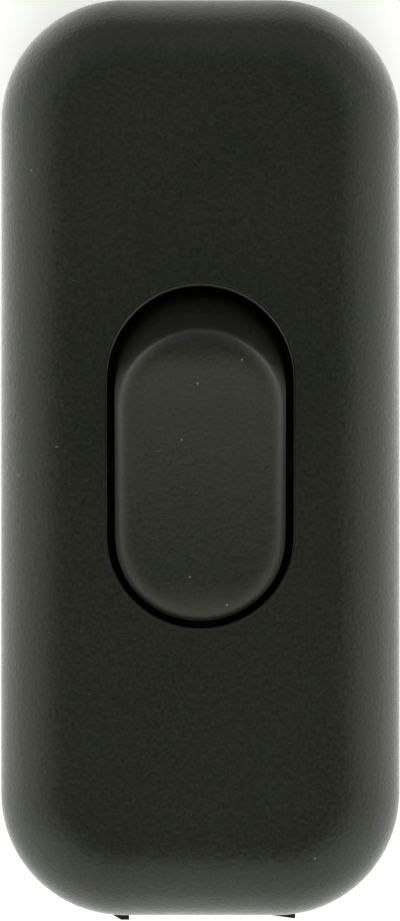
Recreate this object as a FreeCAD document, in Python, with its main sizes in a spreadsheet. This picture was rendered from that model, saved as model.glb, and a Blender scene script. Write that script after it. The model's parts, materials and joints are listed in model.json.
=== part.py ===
import FreeCAD, Part
import math
import os
import Sketcher

# Inline cord switch: a two-pole rocker switch in a two-part moulded housing.
# X runs across the housing, Y along the cord and Z up from the middle of the base.
# Sizes are in millimetres and degrees. Left is -X and the front is -Y.

SIZES = {
    # Housing
    "case_length": "69",
    "case_width": "30",
    "case_height": "20",
    "case_corner_radius": "9.2",
    "top_edge_radius": "5.2",
    "base_edge_radius": "2.5",
    "inner_top_radius": "3.2",
    "inner_base_radius": "1",
    "wall": "2",
    "roof": "2",
    "floor_thickness": "2.2",
    "parting_height": "10",
    "parting_bevel": "0.25",
    "tongue_thickness": "0.9",
    "tongue_height": "1.2",
    "tongue_clearance": "0.1",
    "skirt_depth": "7",
    "skirt_wall": "1.5",
    "skirt_lip": "0.2",
    "skirt_lip_height": "0.8",
    "opening_edge_radius": "0.12",
    # Cord inlets, and the lugs beside the front one
    "inlet_radius": "3.6",
    "inlet_length": "4",
    "inlet_collar": "2",
    "lug_offset": "6.05",
    "left_lug_width": "1.3",
    "left_lug_proud": "0.42",
    "right_lug_width": "2.3",
    "right_lug_proud": "0.3",
    "left_lug_ramp": "0.7",
    "right_lug_ramp": "2.1",
    "lug_base": "4",
    "lug_height": "4",
    # Cord clamps
    "clamp_inset": "7",
    "clamp_screw_offset": "7",
    "clamp_length": "19",
    "clamp_width": "4.6",
    "clamp_flange": "2.4",
    "clamp_arch": "1.6",
    "clamp_lift": "0.6",
    "clamp_post_radius": "2.5",
    "anvil_width": "8.6",
    "anvil_length": "3",
    "anvil_drop": "1.5",
    # Case screws and their bosses
    "case_screw_inset": "12.7",
    "case_screw_radius": "1.35",
    "case_screw_end": "16",
    "case_head_radius": "2.7",
    "case_head_height": "1.8",
    "case_head_recess": "3",
    "case_head_clearance": "0.2",
    "case_boss_radius": "3.2",
    "boss_wall_gap": "0.4",
    "upper_boss_radius": "2.6",
    "pilot_margin": "0.5",
    # Small screws
    "screw_radius": "1.25",
    "screw_head_radius": "2.1",
    "screw_head_height": "1.6",
    "screw_head_round": "0.4",
    "screw_clearance": "0.05",
    "screw_relief": "0.25",
    "screw_slot_width": "0.6",
    "screw_slot_depth": "0.8",
    "clamp_screw_length": "7.4",
    # Rocker
    "rocker_length": "25",
    "rocker_width": "12.96",
    "rocker_side_gap": "0.57",
    "rocker_end_gap": "0.43",
    "rocker_skirt": "1",
    "rocker_face_height": "8",
    "rocker_dish": "0.6",
    "rocker_brow_radius": "6",
    "rocker_crest_inset": "3.4",
    "rocker_side_lean": "0.15",
    "rocker_edge_radius": "0.9",
    "rocker_end_wall": "2.4",
    "rocker_side_wall": "1.4",
    "rocker_cavity": "5.1",
    "rocker_tilt": "12",
    "pivot_depth": "4.6",
    "trunnion_radius": "1.5",
    "trunnion_root": "0.5",
    "trunnion_end_gap": "0.2",
    "pivot_clearance": "0.05",
    "pillar_clearance": "0.1",
    "pillar_drop": "0.9",
    "stop_gap": "0.18",
    "stop_width": "2.4",
    "stop_thickness": "1.2",
    # Plungers and springs
    "guide_wall": "0.6",
    "guide_inset": "0.13",
    "guide_drop": "3",
    "guide_depth": "3.4",
    "plunger_radius": "1.5",
    "plunger_clearance": "0.05",
    "plunger_top": "0.6",
    "plunger_shoulder": "3.9",
    "nose_radius": "1",
    "plunger_rest_gap": "0.2",
    "spring_radius": "1.15",
    "spring_wire_radius": "0.2",
    "spring_turns": "5",
    "spring_clearance": "0.03",
    # Contact levers
    "lever_drop": "6.5",
    "lever_tilt": "8",
    "lever_thickness": "0.6",
    "lever_width": "4.2",
    "lever_contact_arm": "7.3",
    "lever_heel_arm": "4.5",
    "heel_gap": "0.05",
    "trough_radius": "0.6",
    "trough_clearance": "0.05",
    # Contact rivets
    "tip_reach": "6",
    "tip_radius": "1.3",
    "tip_height": "0.6",
    "tip_crown": "3.5",
    "rivet_radius": "0.7",
    "rivet_clearance": "0.03",
    "contact_gap": "0.05",
    "fixed_tip_radius": "1.5",
    "fixed_tip_height": "0.6",
    "fixed_tip_bevel": "0.15",
    # Terminals
    "deck_drop": "5.3",
    "seat_width": "3.2",
    "terminal_inset": "18.5",
    "terminal_pad": "5.2",
    "terminal_pad_width": "5",
    "strip_thickness": "1",
    "strip_width": "4.2",
    "strip_bend_radius": "0.3",
    "ear_thickness": "0.8",
    "ear_length": "4",
    "ear_drop": "0.4",
    "arm_run": "2.25",
    "arm_tail": "1.55",
    "arm_seat_gap": "0.4",
    "plate_width": "4.6",
    "plate_thickness": "0.8",
    "plate_corner": "0.5",
    "barrier_thickness": "1.2",
    "barrier_length": "38",
    "barrier_height": "6.3",
    # How far a cut runs past what it cuts
    "cut_margin": "1",
}

doc = FreeCAD.newDocument("InlineCordSwitch")
sheet = doc.addObject("Spreadsheet::Sheet", "dim")
for row, (alias, number) in enumerate(SIZES.items(), start=1):
    sheet.set(f"A{row}", alias)
    sheet.set(f"B{row}", number)
    sheet.setAlias(f"B{row}", alias)
doc.recompute()

# Places and sizes that follow from the sheet
half_length = "(dim.case_length / 2)"
half_width = "(dim.case_width / 2)"
ceiling = "(dim.case_height - dim.roof)"
opening_half_length = "(dim.rocker_length / 2 + dim.rocker_end_gap)"
opening_half_width = "(dim.rocker_width / 2 + dim.rocker_side_gap)"
skirt_bottom = "(dim.case_height - dim.skirt_depth)"
inlet_inside = f"({half_length} - dim.inlet_length)"
collar_radius = "(dim.inlet_radius + dim.inlet_collar)"
clamp_y = f"({half_length} - dim.clamp_inset)"
clamp_seat = "(dim.parting_height + dim.clamp_lift)"
case_screw_x = f"({half_width} - dim.wall - dim.boss_wall_gap - dim.case_boss_radius)"
case_screw_y = f"({half_length} - dim.case_screw_inset)"
pivot = "(dim.case_height - dim.pivot_depth)"
bearing_radius = "(dim.trunnion_radius + dim.pivot_clearance)"
guide_bore = "(dim.plunger_radius + dim.plunger_clearance)"
guide_radius = f"({guide_bore} + dim.guide_wall)"
pole_x = f"(dim.rocker_width / 2 - dim.guide_inset - {guide_radius})"
lever_axis = f"({pivot} - dim.lever_drop)"
trough_outside = "(dim.trough_radius + dim.lever_thickness)"
nose_centre = (
    "((dim.lever_drop * cos(dim.lever_tilt)"
    " - dim.nose_radius - dim.lever_thickness - dim.plunger_rest_gap)"
    " / cos(dim.rocker_tilt + dim.lever_tilt))"
)
deck = f"({lever_axis} - dim.deck_drop)"
strip_top = f"({deck} + dim.strip_thickness)"
plate_top = f"({strip_top} + dim.plate_thickness)"
terminal_y = f"({half_length} - dim.terminal_inset)"
strip_end = f"({terminal_y} + dim.terminal_pad / 2)"
tip_centre = "(dim.tip_crown - dim.tip_height)"
contact_y = f"(dim.tip_reach * cos(dim.lever_tilt) + {tip_centre} * sin(dim.lever_tilt))"
contact_top = (
    f"({lever_axis} - dim.tip_reach * sin(dim.lever_tilt)"
    f" + {tip_centre} * cos(dim.lever_tilt) - dim.tip_crown - dim.contact_gap)"
)
arm_top = f"({contact_top} - dim.fixed_tip_height)"
arm_bottom = f"({arm_top} - dim.strip_thickness)"
screw_hole = "(dim.screw_radius + dim.screw_clearance)"
rivet_hole = "(dim.rivet_radius + dim.rivet_clearance)"
sides = (("left", "-"), ("right", ""))
ends = (("front", "-"), ("rear", ""))

# How near two heights are taken to be the same
TOLERANCE = 0.01


def value(expression):
    """Present value of an expression over the sheet."""
    return float(sheet.evalExpression(expression))


def new_body(label):
    """Empty body for one piece."""
    body = doc.addObject("PartDesign::Body", label)
    body.Label = label
    return body


def new_sketch(body, name, plane="XY", offset="0"):
    """Sketch on one of the body's own origin planes, moved along the plane's normal."""
    sketch = body.newObject("Sketcher::SketchObject", f"{body.Label}_{name}")
    role = f"{plane}_Plane"
    support = next(item for item in body.Origin.OriginFeatures if item.Role == role)
    sketch.AttachmentSupport = [(support, "")]
    sketch.MapMode = "FlatFace"
    sketch.setExpression("AttachmentOffset.Base.z", offset)
    return sketch


def constrain(sketch, rules):
    """Add constraints, each with the expression that drives it or None."""
    first = sketch.ConstraintCount
    sketch.addConstraint([rule for rule, expression in rules])
    for index, (rule, expression) in enumerate(rules, first):
        if expression is not None:
            sketch.setExpression(f"Constraints[{index}]", expression)


def pin(edge, end, x, y):
    """Constraints that hold one point of a sketch at a pair of expressions."""
    across = Sketcher.Constraint("DistanceX", -1, 1, edge, end, value(x))
    up = Sketcher.Constraint("DistanceY", -1, 1, edge, end, value(y))
    return [(across, x), (up, y)]


def circle(sketch, x, y, radius):
    """Circle with its centre and radius given as expressions."""
    centre = FreeCAD.Vector(value(x), value(y), 0)
    ring = Part.Circle(centre, FreeCAD.Vector(0, 0, 1), value(radius))
    edge = sketch.addGeometry(ring)
    size = (Sketcher.Constraint("Radius", edge, value(radius)), radius)
    constrain(sketch, pin(edge, 3, x, y) + [size])


def arc_between(start, end, radius, turn):
    """The short arc from start to end that turns left or right."""
    chord = end - start
    rise = math.sqrt(max(radius**2 - chord.Length**2 / 4, 0))
    left = FreeCAD.Vector(-chord.y, chord.x, 0) / chord.Length
    if turn == "right":
        left = -left
        start, end = end, start
    centre = (start + end) / 2 + left * rise
    from_angle = math.atan2(start.y - centre.y, start.x - centre.x)
    to_angle = math.atan2(end.y - centre.y, end.x - centre.x)
    whole = Part.Circle(centre, FreeCAD.Vector(0, 0, 1), radius)
    return Part.ArcOfCircle(whole, from_angle, to_angle)


def profile(sketch, corners):
    """Closed outline through corners (x, y), all given as expressions.

    A corner (x, y, radius, turn) is reached by an arc that turns left or right.
    """
    first = sketch.GeometryCount
    spots = [FreeCAD.Vector(value(corner[0]), value(corner[1]), 0) for corner in corners]
    edges = []
    tails = []
    for index, corner in enumerate(corners):
        if len(corner) == 2:
            edges.append(Part.LineSegment(spots[index - 1], spots[index]))
            tails.append(2)
        else:
            radius, turn = corner[2:]
            edges.append(arc_between(spots[index - 1], spots[index], value(radius), turn))
            tails.append(2 if turn == "left" else 1)
    sketch.addGeometry(edges)
    rules = []
    for index, corner in enumerate(corners):
        following = (index + 1) % len(corners)
        join = (first + index, tails[index], first + following, 3 - tails[following])
        rules.append((Sketcher.Constraint("Coincident", *join), None))
        rules += pin(first + index, tails[index], corner[0], corner[1])
        if len(corner) == 4:
            size = Sketcher.Constraint("Radius", first + index, value(corner[2]))
            rules.append((size, corner[2]))
    constrain(sketch, rules)


def box(sketch, x_low, x_high, y_low, y_high):
    """Rectangle between four expressions."""
    profile(sketch, [(x_low, y_low), (x_high, y_low), (x_high, y_high), (x_low, y_high)])


def box_at(sketch, x, y, width, length):
    """Rectangle of a width and length about a middle point."""
    box(
        sketch,
        f"{x} - {width} / 2",
        f"{x} + {width} / 2",
        f"{y} - {length} / 2",
        f"{y} + {length} / 2",
    )


def rounded_box(sketch, half_x, half_y, radius):
    """Rectangle about the middle with round corners."""
    near_x = f"({half_x} - {radius})"
    near_y = f"({half_y} - {radius})"
    profile(
        sketch,
        [
            (half_x, f"-{near_y}", radius, "left"),
            (half_x, near_y),
            (near_x, half_y, radius, "left"),
            (f"-{near_x}", half_y),
            (f"-{half_x}", near_y, radius, "left"),
            (f"-{half_x}", f"-{near_y}"),
            (f"-{near_x}", f"-{half_y}", radius, "left"),
            (near_x, f"-{half_y}"),
        ],
    )


def case_outline(sketch, inset="0"):
    """The housing's plan outline, moved inwards."""
    rounded_box(
        sketch,
        f"({half_width} - {inset})",
        f"({half_length} - {inset})",
        f"(dim.case_corner_radius - {inset})",
    )


def stadium(sketch, half_x, half_y):
    """Long outline about the middle with half-round ends."""
    flank = f"({half_y} - {half_x})"
    profile(
        sketch,
        [
            (half_x, f"-{flank}", half_x, "left"),
            (half_x, flank),
            ("0", half_y, half_x, "left"),
            (f"-{half_x}", flank, half_x, "left"),
            (f"-{half_x}", f"-{flank}"),
            ("0", f"-{half_y}", half_x, "left"),
        ],
    )


def extrude(body, sketch, kind, length, reverse, symmetric):
    """Pad or pocket from a sketch, checked to have changed the solid."""
    before = body.Tip.Shape.Volume if body.Tip else 0
    feature = body.newObject(f"PartDesign::{kind}", f"{sketch.Name}_{kind.lower()}")
    feature.Profile = sketch
    feature.Reversed = reverse
    if symmetric:
        feature.SideType = "Symmetric"
    if length is None:
        feature.Type = "ThroughAll"
    else:
        feature.setExpression("Length", length)
    doc.recompute()
    gain = feature.Shape.Volume - before
    if (gain > 0) != (kind == "Pad") or gain == 0:
        raise ValueError(f"{feature.Name} left the solid as it was")


def pad(body, sketch, length, reverse=False, symmetric=False):
    """Material from a sketch along its normal, or against it when reversed."""
    extrude(body, sketch, "Pad", length, reverse, symmetric)


def pocket(body, sketch, length=None, reverse=False, symmetric=False):
    """Cut from a sketch against its normal, or along it when reversed."""
    extrude(body, sketch, "Pocket", length, reverse, symmetric)


def revolve(body, sketch):
    """Solid of revolution about the sketch's own upright axis."""
    feature = body.newObject("PartDesign::Revolution", f"{sketch.Name}_turn")
    feature.Profile = sketch
    feature.ReferenceAxis = (sketch, ["V_Axis"])
    feature.Angle = 360
    doc.recompute()


def dress(body, kind, name, size, chosen):
    """Fillet or chamfer on the edges that a test picks."""
    base = body.Tip
    picked = [f"Edge{index}" for index, edge in enumerate(base.Shape.Edges, 1) if chosen(edge)]
    feature = body.newObject(f"PartDesign::{kind}", f"{body.Label}_{name}")
    feature.Base = (base, picked)
    feature.setExpression("Radius" if kind == "Fillet" else "Size", size)
    doc.recompute()


def lies_at(edge, height):
    """Does the whole edge lie at this height?"""
    reach = edge.BoundBox
    return max(abs(reach.ZMin - height), abs(reach.ZMax - height)) < TOLERANCE


def on_opening(edge):
    """Is this edge of the roof on the rocker opening?"""
    reach = edge.BoundBox
    inside_x = max(-reach.XMin, reach.XMax) < value(opening_half_width) + TOLERANCE
    inside_y = max(-reach.YMin, reach.YMax) < value(opening_half_length) + TOLERANCE
    return inside_x and inside_y


def place(body, x="0", y="0", z="0", tilt=None, axis=(1, 0, 0)):
    """Bind a body's place, and its tilt about an axis across the housing."""
    if tilt is not None:
        turn = FreeCAD.Rotation(FreeCAD.Vector(*axis), value(tilt))
        body.Placement = FreeCAD.Placement(FreeCAD.Vector(), turn)
        body.setExpression("Placement.Rotation.Angle", tilt)
    body.setExpression("Placement.Base.x", x)
    body.setExpression("Placement.Base.y", y)
    body.setExpression("Placement.Base.z", z)
    doc.recompute()


def end_collars(body, turn_from, turn_to):
    """Half collars that lengthen the cord inlets inwards, above or below the parting plane."""
    length = "dim.inlet_length - dim.wall / 2"
    for end, sign in ends:
        sketch = new_sketch(body, f"{end}_collar", "XZ", f"{'' if sign else '-'}{inlet_inside}")
        crest = f"dim.parting_height {turn_to} {collar_radius}"
        profile(
            sketch,
            [
                (collar_radius, "dim.parting_height"),
                ("0", crest, collar_radius, turn_from),
                (f"-{collar_radius}", "dim.parting_height", collar_radius, turn_from),
            ],
        )
        pad(body, sketch, length, reverse=not sign)


def end_bores(body):
    """Round cord inlets through both end walls, on the parting plane."""
    for end, sign in ends:
        start = f"({inlet_inside} - dim.cut_margin)"
        sketch = new_sketch(body, f"{end}_inlet", "XZ", f"{'' if sign else '-'}{start}")
        circle(sketch, "0", "dim.parting_height", "dim.inlet_radius")
        pocket(body, sketch, reverse=bool(sign))


def case_screw_circles(sketch, radius):
    """One circle at each of the two case screws, in opposite corners."""
    circle(sketch, case_screw_x, case_screw_y, radius)
    circle(sketch, f"-{case_screw_x}", f"-{case_screw_y}", radius)


def make_upper_shell():
    """Moulded upper half with the rocker opening, its skirt and the trunnion slots."""
    body = new_body("upper_shell")
    outline = new_sketch(body, "outline", offset="dim.parting_height")
    case_outline(outline)
    pad(body, outline, "dim.case_height - dim.parting_height")
    parting = value("dim.parting_height")
    top = value("dim.case_height")
    dress(body, "Chamfer", "parting_bevel", "dim.parting_bevel", lambda e: lies_at(e, parting))
    dress(body, "Fillet", "top_round", "dim.top_edge_radius", lambda e: lies_at(e, top))

    hollow = new_sketch(body, "hollow", offset="dim.parting_height")
    case_outline(hollow, "dim.wall")
    pocket(body, hollow, f"{ceiling} - dim.parting_height", reverse=True)
    inside = value(ceiling)
    dress(body, "Fillet", "inner_round", "dim.inner_top_radius", lambda e: lies_at(e, inside))

    skirt = new_sketch(body, "skirt", offset="dim.case_height - dim.roof / 2")
    skirt_half_x = f"({opening_half_width} + dim.skirt_wall)"
    skirt_half_y = f"({opening_half_length} + dim.skirt_wall)"
    stadium(skirt, skirt_half_x, skirt_half_y)
    pad(body, skirt, "dim.skirt_depth - dim.roof / 2", reverse=True)
    end_collars(body, "left", "+")
    bosses = new_sketch(body, "bosses", offset="dim.parting_height")
    case_screw_circles(bosses, "dim.upper_boss_radius")
    pad(body, bosses, "dim.case_height - dim.roof / 2 - dim.parting_height")

    rebate = new_sketch(body, "rebate", offset="dim.parting_height")
    case_outline(rebate, "(dim.wall - dim.tongue_thickness - dim.tongue_clearance)")
    case_outline(rebate, "(dim.wall + dim.tongue_clearance)")
    pocket(body, rebate, "dim.tongue_height + dim.tongue_clearance", reverse=True)
    opening = new_sketch(body, "opening", offset="dim.case_height")
    stadium(opening, opening_half_width, opening_half_length)
    pocket(body, opening, "dim.skirt_depth - dim.skirt_lip_height")
    lip = new_sketch(body, "lip", offset=skirt_bottom)
    stadium(
        lip,
        f"({opening_half_width} - dim.skirt_lip)",
        f"({opening_half_length} - dim.skirt_lip)",
    )
    pocket(body, lip, "dim.skirt_lip_height", reverse=True)
    dress(
        body,
        "Fillet",
        "opening_round",
        "dim.opening_edge_radius",
        lambda e: lies_at(e, top) and on_opening(e),
    )

    slots = new_sketch(body, "trunnion_slots", "YZ")
    slot_base = f"{skirt_bottom} - dim.cut_margin"
    profile(
        slots,
        [
            (bearing_radius, slot_base),
            (bearing_radius, pivot),
            ("0", f"{pivot} + {bearing_radius}", bearing_radius, "left"),
            (f"-{bearing_radius}", pivot, bearing_radius, "left"),
            (f"-{bearing_radius}", slot_base),
        ],
    )
    pocket(body, slots, f"2 * ({skirt_half_x} + dim.cut_margin)", symmetric=True)
    end_bores(body)
    pilots = new_sketch(body, "pilots", offset="dim.parting_height")
    case_screw_circles(pilots, "dim.case_screw_radius + dim.screw_clearance")
    pocket(
        body,
        pilots,
        "dim.case_screw_end + dim.pilot_margin - dim.parting_height",
        reverse=True,
    )
    return body


def from_floor(body, name, top):
    """Sketch inside the floor, for what stands on it, and the height from there to a top."""
    root = "dim.floor_thickness / 2"
    return new_sketch(body, name, offset=root), f"{top} - {root}"


def make_lower_shell():
    """Moulded lower half with the seats, posts, pillars and bosses that stand on its floor."""
    body = new_body("lower_shell")
    outline = new_sketch(body, "outline")
    case_outline(outline)
    pad(body, outline, "dim.parting_height")
    parting = value("dim.parting_height")
    dress(body, "Chamfer", "parting_bevel", "dim.parting_bevel", lambda e: lies_at(e, parting))
    dress(body, "Fillet", "base_round", "dim.base_edge_radius", lambda e: lies_at(e, 0))
    hollow = new_sketch(body, "hollow", offset="dim.parting_height")
    case_outline(hollow, "dim.wall")
    pocket(body, hollow, "dim.parting_height - dim.floor_thickness")
    floor = value("dim.floor_thickness")
    dress(body, "Fillet", "inner_round", "dim.inner_base_radius", lambda e: lies_at(e, floor))

    tongue = new_sketch(body, "tongue", offset="dim.parting_height")
    case_outline(tongue, "(dim.wall - dim.tongue_thickness)")
    case_outline(tongue, "dim.wall")
    pad(body, tongue, "dim.tongue_height")
    end_collars(body, "right", "-")
    end_bores(body)
    lugs = new_sketch(body, "lugs", offset="dim.lug_base")
    for side, sign in sides:
        left = f"({sign}dim.lug_offset - dim.{side}_lug_width / 2)"
        right = f"({sign}dim.lug_offset + dim.{side}_lug_width / 2)"
        tip = f"-({half_length} + dim.{side}_lug_proud)"
        root = f"-({half_length} - dim.wall / 2)"
        profile(
            lugs,
            [
                (left, root),
                (left, f"-{half_length}"),
                (f"{left} + dim.{side}_lug_ramp", tip),
                (right, tip),
                (right, root),
            ],
        )
    pad(body, lugs, "dim.lug_height")

    seats, height = from_floor(body, "seats", deck)
    for x, y in terminal_spots():
        box_at(seats, x, y, "dim.plate_width", "dim.plate_width")
    for side, sign in sides:
        box_at(seats, f"{sign}{pole_x}", "0", "dim.seat_width", "dim.ear_length")
    pad(body, seats, height)
    relief = new_sketch(body, "screw_reliefs", offset=deck)
    for x, y in terminal_spots():
        circle(relief, x, y, "dim.screw_radius + dim.screw_relief")
    pocket(body, relief, f"{deck} - dim.floor_thickness")
    pedestals, height = from_floor(body, "arm_seats", arm_bottom)
    for side, sign in sides:
        pole = f"{sign}{pole_x}"
        box(
            pedestals,
            f"{pole} - dim.seat_width / 2",
            f"{pole} + dim.seat_width / 2",
            f"-({contact_y} + dim.arm_run - dim.arm_seat_gap)",
            f"-({contact_y} - dim.arm_tail)",
        )
    pad(body, pedestals, height)

    barrier, height = from_floor(body, "barrier", "(dim.floor_thickness + dim.barrier_height)")
    box_at(barrier, "0", "0", "dim.barrier_thickness", "dim.barrier_length")
    pad(body, barrier, height)
    rocker_end = "dim.rocker_length / 2"
    edge_y = f"({rocker_end} * cos(dim.rocker_tilt) - dim.rocker_skirt * sin(dim.rocker_tilt))"
    edge_drop = f"({rocker_end} * sin(dim.rocker_tilt) + dim.rocker_skirt * cos(dim.rocker_tilt))"
    stops, height = from_floor(body, "rocker_stops", f"({pivot} - {edge_drop} - dim.stop_gap)")
    for end, sign in ends:
        box_at(stops, "0", f"{sign}{edge_y}", "dim.stop_width", "dim.stop_thickness")
    pad(body, stops, height)

    pillars, height = from_floor(body, "pillars", f"({pivot} - dim.pillar_drop)")
    inner = f"({opening_half_width} + dim.pillar_clearance)"
    outer = f"({opening_half_width} + dim.skirt_wall - dim.pillar_clearance)"
    pillar_half = f"({bearing_radius} - dim.pillar_clearance)"
    box(pillars, inner, outer, f"-{pillar_half}", pillar_half)
    box(pillars, f"-{outer}", f"-{inner}", f"-{pillar_half}", pillar_half)
    pad(body, pillars, height)
    saddles = new_sketch(body, "saddles", "YZ")
    circle(saddles, "0", pivot, bearing_radius)
    pocket(body, saddles, f"2 * ({outer} + dim.cut_margin)", symmetric=True)

    posts, height = from_floor(body, "clamp_posts", clamp_seat)
    for x, y in clamp_spots():
        circle(posts, x, y, "dim.clamp_post_radius")
    pad(body, posts, height)
    pilots = new_sketch(body, "clamp_pilots", offset=clamp_seat)
    for x, y in clamp_spots():
        circle(pilots, x, y, screw_hole)
    pocket(body, pilots, "dim.clamp_screw_length - dim.clamp_flange + dim.pilot_margin")
    anvils, height = from_floor(body, "anvils", "(dim.parting_height - dim.anvil_drop)")
    for end, sign in ends:
        box_at(anvils, "0", f"{sign}{clamp_y}", "dim.anvil_width", "dim.anvil_length")
    pad(body, anvils, height)
    for end, sign in ends:
        start = f"({clamp_y} - dim.anvil_length / 2 - dim.cut_margin / 2)"
        groove = new_sketch(body, f"{end}_groove", "XZ", f"{'' if sign else '-'}{start}")
        circle(groove, "0", "dim.parting_height", "dim.inlet_radius")
        pocket(body, groove, "dim.anvil_length + dim.cut_margin", reverse=bool(sign))

    bosses, height = from_floor(body, "bosses", "dim.parting_height")
    case_screw_circles(bosses, "dim.case_boss_radius")
    pad(body, bosses, height)
    recess = new_sketch(body, "head_recesses")
    case_screw_circles(recess, "dim.case_head_radius + dim.case_head_clearance")
    pocket(body, recess, "dim.case_head_recess", reverse=True)
    holes = new_sketch(body, "case_screw_holes")
    case_screw_circles(holes, "dim.case_screw_radius + dim.screw_relief")
    pocket(body, holes, "dim.parting_height + dim.cut_margin", reverse=True)
    return body


def make_rocker():
    """Moulded rocker with a dished face, leaning ends, two guide tubes and two trunnions."""
    body = new_body("rocker")
    rim = new_sketch(body, "rim", offset="-dim.rocker_skirt")
    half_x = "(dim.rocker_width / 2)"
    half_y = "(dim.rocker_length / 2)"
    stadium(rim, half_x, half_y)
    pad(body, rim, "2 * dim.rocker_skirt")
    root = new_sketch(body, "root", offset="dim.rocker_skirt")
    stadium(root, half_x, half_y)
    crown_height = "(dim.rocker_face_height + dim.rocker_dish)"
    crown = new_sketch(body, "crown", offset=crown_height)
    end_lean = f"(({crown_height} - dim.rocker_skirt) * tan(dim.rocker_tilt))"
    stadium(crown, f"({half_x} - dim.rocker_side_lean)", f"({half_y} - {end_lean})")
    loft = body.newObject("PartDesign::AdditiveLoft", "rocker_flanks")
    loft.Profile = root
    loft.Sections = [crown]
    loft.Ruled = True
    doc.recompute()

    # The hollow of the face runs smoothly into a round brow at each end.
    dish = new_sketch(body, "dish", "YZ")
    brow = "dim.rocker_brow_radius"
    crest_y = f"({half_y} - dim.rocker_crest_inset)"
    both_radii = f"(({crest_y}^2 + dim.rocker_dish^2) / (2 * dim.rocker_dish))"
    dish_radius = f"({both_radii} - {brow})"
    brow_centre = f"(dim.rocker_face_height - {brow})"
    join_y = f"({crest_y} * {dish_radius} / {both_radii})"
    join_z = f"({brow_centre} + {brow} * ({both_radii} - dim.rocker_dish) / {both_radii})"
    end_z = f"({brow_centre} + sqrt({brow}^2 - dim.rocker_crest_inset^2))"
    above = f"{crown_height} + dim.cut_margin"
    profile(
        dish,
        [
            (f"-{half_y}", end_z),
            (f"-{join_y}", join_z, brow, "right"),
            (join_y, join_z, dish_radius, "left"),
            (half_y, end_z, brow, "right"),
            (half_y, above),
            (f"-{half_y}", above),
        ],
    )
    pocket(body, dish, "dim.rocker_width + dim.cut_margin", symmetric=True)
    face_low = value("dim.rocker_face_height - dim.rocker_dish")
    dress(
        body,
        "Fillet",
        "face_round",
        "dim.rocker_edge_radius",
        lambda e: e.BoundBox.ZMin > face_low - TOLERANCE,
    )

    hollow = new_sketch(body, "hollow", offset="-dim.rocker_skirt")
    stadium(hollow, f"({half_x} - dim.rocker_side_wall)", f"({half_y} - dim.rocker_end_wall)")
    pocket(body, hollow, "dim.rocker_skirt + dim.rocker_cavity", reverse=True)
    guides = new_sketch(body, "guides", offset="-dim.guide_drop")
    for side, sign in sides:
        circle(guides, f"{sign}{pole_x}", "0", guide_radius)
    pad(body, guides, "dim.guide_drop + dim.rocker_cavity")
    for side, sign in sides:
        start = f"({half_x} - dim.trunnion_root)"
        trunnion = new_sketch(body, f"{side}_trunnion", "YZ", f"{sign}{start}")
        circle(trunnion, "0", "0", "dim.trunnion_radius")
        reach = f"{opening_half_width} + dim.skirt_wall - dim.trunnion_end_gap - {start}"
        pad(body, trunnion, reach, reverse=bool(sign))
    bores = new_sketch(body, "guide_bores", offset="-dim.guide_drop")
    for side, sign in sides:
        circle(bores, f"{sign}{pole_x}", "0", guide_bore)
    pocket(body, bores, "dim.guide_drop + dim.guide_depth", reverse=True)
    place(body, z=pivot, tilt="dim.rocker_tilt")
    return body


def make_plunger(side, sign):
    """Turned plunger with a round nose, guided in the rocker's tube."""
    body = new_body(f"{side}_plunger")
    half = new_sketch(body, "half_section", "XZ")
    shoulder_bevel = "(dim.plunger_radius - dim.nose_radius)"
    profile(
        half,
        [
            ("0", "-dim.plunger_top"),
            ("0", f"-({nose_centre} + dim.nose_radius)"),
            ("dim.nose_radius", f"-{nose_centre}", "dim.nose_radius", "left"),
            ("dim.nose_radius", f"-(dim.plunger_shoulder + {shoulder_bevel} / 2)"),
            ("dim.plunger_radius", "-dim.plunger_shoulder"),
            ("dim.plunger_radius", "-dim.plunger_top"),
        ],
    )
    revolve(body, half)
    place(body, x=f"{sign}{pole_x}", z=pivot, tilt="dim.rocker_tilt")
    return body


def make_spring(side, sign):
    """Coil spring between the plunger and the blind end of its tube."""
    body = new_body(f"{side}_plunger_spring")
    wire = new_sketch(body, "wire", "XZ")
    lowest = "(dim.spring_wire_radius + dim.spring_clearance - dim.plunger_top)"
    circle(wire, "dim.spring_radius", lowest, "dim.spring_wire_radius")
    coil = body.newObject("PartDesign::AdditiveHelix", f"{body.Label}_coil")
    coil.Profile = wire
    coil.ReferenceAxis = (wire, ["V_Axis"])
    coil.Mode = "pitch-height-angle"
    height = f"(dim.guide_depth - dim.spring_wire_radius - dim.spring_clearance - {lowest})"
    coil.setExpression("Pitch", f"{height} / dim.spring_turns")
    coil.setExpression("Height", height)
    doc.recompute()
    place(body, x=f"{sign}{pole_x}", z=pivot, tilt="dim.rocker_tilt")
    return body


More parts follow.
